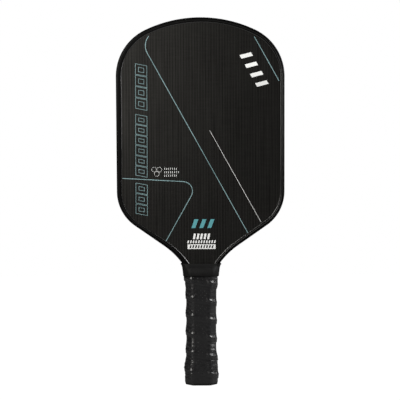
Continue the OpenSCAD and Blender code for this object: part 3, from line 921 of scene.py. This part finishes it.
def butt_cap():
    """End plate with a rounded flange, a recess with a low boss, and the sleeve above it."""
    flange = CAP_HIGH.x - HANDLE_HX - BUTT_FLARE
    flange_t = 2.2 * MM
    flange_corner = 3.6 * MM
    rim_w = 3.2 * MM
    edge_r = 1.2 * MM
    recess = 0.9 * MM
    boss_r = 7 * MM
    boss_top = recess - 0.4 * MM

    def octagon(t, z, corner=2.0 * MM):
        grown = BUTT_FLARE + t
        cut = HANDLE_CUT + 1.6 * MM
        ring = section_ring(HANDLE_HX + grown, HANDLE_HY + grown, cut, corner, CAP_POINTS)[0]
        return [(x, y, z) for x, y in ring]

    def circle(r, z):
        ring = section_ring(HANDLE_HX, HANDLE_HY, HANDLE_CUT, 2 * MM, CAP_POINTS)[0]
        return [(r * x / math.hypot(x, y), r * y / math.hypot(x, y), z) for x, y in ring]

    # The boss, the recess round it and the rim it rests on
    rings = [circle(boss_r * share, boss_top) for share in (0.05, 0.5, 0.95)]
    rings.append(circle(boss_r, boss_top + 0.06 * MM))
    rings.append(circle(boss_r + 0.05 * MM, recess - 0.05 * MM))
    rings.append(circle(boss_r + 0.4 * MM, recess))
    rings.append(octagon(flange - rim_w - 0.5 * MM, recess))
    rings.append(octagon(flange - rim_w - 0.05 * MM, recess - 0.1 * MM))
    rings.append(octagon(flange - rim_w, 0.3 * MM))
    rings.append(octagon(flange - rim_w + 0.3 * MM, 0.0))
    # The flange's rounded edge, then its side and its upper edge
    for i in range(7):
        a = math.radians(90 * i / 6)
        t = flange - edge_r * (1 - math.sin(a))
        rings.append(octagon(t, edge_r * (1 - math.cos(a)), flange_corner))
    rings.append(octagon(flange, flange_t - 0.15 * MM, flange_corner))
    rings.append(octagon(flange - 0.15 * MM, flange_t, flange_corner))
    # Up the sleeve's outside and down its inside
    for z in (flange_t + 0.02 * MM, 9 * MM, 15 * MM, 19 * MM, 23 * MM, 27 * MM, CAP_HIGH.z):
        rings.append([(x, y, z) for x, y in handle_ring(z, 0.0, CAP_POINTS)[0]])
    inside = (HANDLE_HX + 0.05 * MM, HANDLE_HY + 0.05 * MM, HANDLE_CUT, 1.5 * MM, CAP_POINTS)
    for z in (CAP_HIGH.z, flange_t + 0.35 * MM):
        rings.append([(x, y, z) for x, y in section_ring(*inside)[0]])
    return ring_mesh("butt_cap_shell", rings, caps=True)


# ---------------------------------------------------------------- pieces

CARBON = carbon_material()
TEAL = ink_material("teal_ink", (0.135, 0.230, 0.245), (0.215, 0.340, 0.360), (0.085, 0.305, 0.340))
WHITE = ink_material("white_ink", (0.71, 0.72, 0.72), (0.87, 0.88, 0.88))
FILM = plastic_material("adhesive_film", (0.52, 0.48, 0.30), (0.64, 0.60, 0.42), 0.2)
GLASS_PLY = weave_material("fibreglass", (0.42, 0.48, 0.44), (0.62, 0.68, 0.64), 1.5 * MM, 0.4)
PALLET = foam_material("pallet_foam", (0.48, 0.38, 0.25), (0.66, 0.54, 0.38), 0.9 * MM)

NODE_MATERIALS = {
    "front_face_ply": CARBON,
    "rear_face_ply": CARBON,
    "front_teal_print": TEAL,
    "rear_teal_print": TEAL,
    "front_white_print": WHITE,
    "rear_white_print": WHITE,
    "front_adhesive_film": FILM,
    "rear_adhesive_film": FILM,
    "front_inner_ply": GLASS_PLY,
    "rear_inner_ply": GLASS_PLY,
    "front_handle_pallet": PALLET,
    "rear_handle_pallet": PALLET,
    "honeycomb_core": plastic_material("honeycomb", (0.72, 0.70, 0.64), (0.84, 0.83, 0.79), 0.4),
    "perimeter_foam": foam_material("rim_foam", (0.74, 0.68, 0.52), (0.88, 0.84, 0.72), 0.6 * MM),
    "edge_guard_tape": plastic_material("edge_tape", (0.52, 0.52, 0.50), (0.64, 0.64, 0.62), 0.5),
    "butt_cap_staples": steel_material(),
    "grip_cushion": foam_material("grip_backing", (0.03, 0.03, 0.03), (0.07, 0.07, 0.07), 0.5 * MM),
    "finishing_tape": plastic_material("finishing_tape", (0.008, 0.008, 0.008), (0.014, 0.014, 0.014), 0.3),
}

for node_name, node_material in NODE_MATERIALS.items():
    mesh = frame["nodes"][node_name].data
    mesh.materials.clear()
    mesh.materials.append(node_material)

place(edge_guard(), guard_material(), "edge_guard")
place(grip_wrap(), grip_material(), "grip_skin")
place(throat_collar(), rubber_material(), "throat_collar")
CAP_PLASTIC = plastic_material("butt_cap", (0.0015, 0.0015, 0.0015), (0.0030, 0.0030, 0.0030), 0.24)
place(butt_cap(), CAP_PLASTIC, "butt_cap")

# ---------------------------------------------------------------- stage


def area_light(name, at, aim, width, height, watts, colour=(1.0, 1.0, 1.0)):
    data = bpy.data.lights.new(name, "AREA")
    data.shape = "RECTANGLE"
    data.size = width
    data.size_y = height
    data.energy = watts
    data.color = colour
    light = bpy.data.objects.new(name, data)
    light.location = at
    light.rotation_euler = (Vector(aim) - Vector(at)).to_track_quat("-Z", "Y").to_euler()
    bpy.context.scene.collection.objects.link(light)


FLOOR_R = 1.6
FLOOR_Z = -0.3 * MM
FLOOR_RINGS = 12
FLOOR_SIDES = 96


def floor():
    """A round pale floor that keeps only a faint contact shadow."""
    verts = []
    for i in range(FLOOR_RINGS + 1):
        r = FLOOR_R * (i / FLOOR_RINGS) ** 1.5 + 4 * MM
        for j in range(FLOOR_SIDES):
            a = math.radians(360 * j / FLOOR_SIDES)
            verts.append((r * math.cos(a), r * math.sin(a), FLOOR_Z))
    faces = [tuple(range(FLOOR_SIDES))]
    for i in range(FLOOR_RINGS):
        a, b = i * FLOOR_SIDES, (i + 1) * FLOOR_SIDES
        for j in range(FLOOR_SIDES):
            k = (j + 1) % FLOOR_SIDES
            faces.append((a + j, a + k, b + k, b + j))
    obj = new_object("floor", verts, faces)
    n = Nodes("floor")
    tree = n.tree
    speckle = n.noise(n.place, 300.0, 3.0)
    n.finish(n.mix(speckle, (0.30, 0.30, 0.30), (0.34, 0.34, 0.34)), 0.9, None, 0.1)
    glow = tree.nodes.new("ShaderNodeEmission")
    glow.inputs["Color"].default_value = (1.0, 1.0, 1.0, 1.0)
    glow.inputs["Strength"].default_value = 1.08
    path = tree.nodes.new("ShaderNodeLightPath")
    blend = tree.nodes.new("ShaderNodeMixShader")
    amount = n.math("MULTIPLY", path.outputs["Is Camera Ray"], 0.93)
    tree.links.new(amount, blend.inputs[0])
    tree.links.new(n.shader.outputs[0], blend.inputs[1])
    tree.links.new(glow.outputs[0], blend.inputs[2])
    tree.links.new(blend.outputs[0], tree.nodes["Material Output"].inputs["Surface"])
    obj.data.materials.append(n.material)


def world():
    """White behind the object, dim grey in its reflections."""
    w = bpy.data.worlds.new("studio")
    bpy.context.scene.world = w
    w.use_nodes = True
    tree = w.node_tree
    seen = tree.nodes["Background"]
    seen.inputs["Color"].default_value = (1.0, 1.0, 1.0, 1.0)
    fill = tree.nodes.new("ShaderNodeBackground")
    fill.inputs["Color"].default_value = (0.96, 0.98, 1.0, 1.0)
    fill.inputs["Strength"].default_value = 0.03
    path = tree.nodes.new("ShaderNodeLightPath")
    blend = tree.nodes.new("ShaderNodeMixShader")
    tree.links.new(path.outputs["Is Camera Ray"], blend.inputs[0])
    tree.links.new(fill.outputs[0], blend.inputs[1])
    tree.links.new(seen.outputs[0], blend.inputs[2])
    tree.links.new(blend.outputs[0], tree.nodes["World Output"].inputs["Surface"])


world()
floor()
# Name, place, point it is aimed at, width, height, watts and colour
area_light("key_left", (-0.45, -0.60, 0.55), (0.0, 0.0, 0.25), 0.30, 0.30, 7.5, (1.0, 0.98, 0.94))
area_light("high_right", (0.50, -0.20, 0.80), (0.0, 0.0, 0.20), 0.25, 0.25, 1.1)
area_light("strip_right", (0.62, -0.12, 0.50), (0.0, 0.0, 0.12), 0.10, 0.50, 1.8)
area_light("low_right", (0.60, 0.0, 0.45), (0.0, 0.0, 0.08), 0.12, 0.30, 2.9)
area_light("rear_fill", (0.25, 0.90, 0.60), (0.0, 0.0, 0.22), 0.60, 0.60, 9.0)

# The camera stands level with the paddle's middle and frames it as tall as the picture allows
LENS = 85.0
SENSOR = 36.0
PADDLE_SHARE = 0.9118
AIM_LEFT = 0.82 * MM
AIM_UP = 0.85 * MM
ROLL = math.radians(0.25)
camera_data = bpy.data.cameras.new("camera")
camera_data.lens = LENS
camera_data.sensor_width = SENSOR
camera = bpy.data.objects.new("camera", camera_data)
distance = TIP_Z / PADDLE_SHARE * LENS / SENSOR
camera.location = (-AIM_LEFT, -distance, TIP_Z / 2 + AIM_UP)
camera.rotation_euler = (math.radians(90), ROLL, 0.0)
bpy.context.scene.collection.objects.link(camera)
bpy.context.scene.camera = camera
bpy.context.scene.view_settings.view_transform = "Standard"
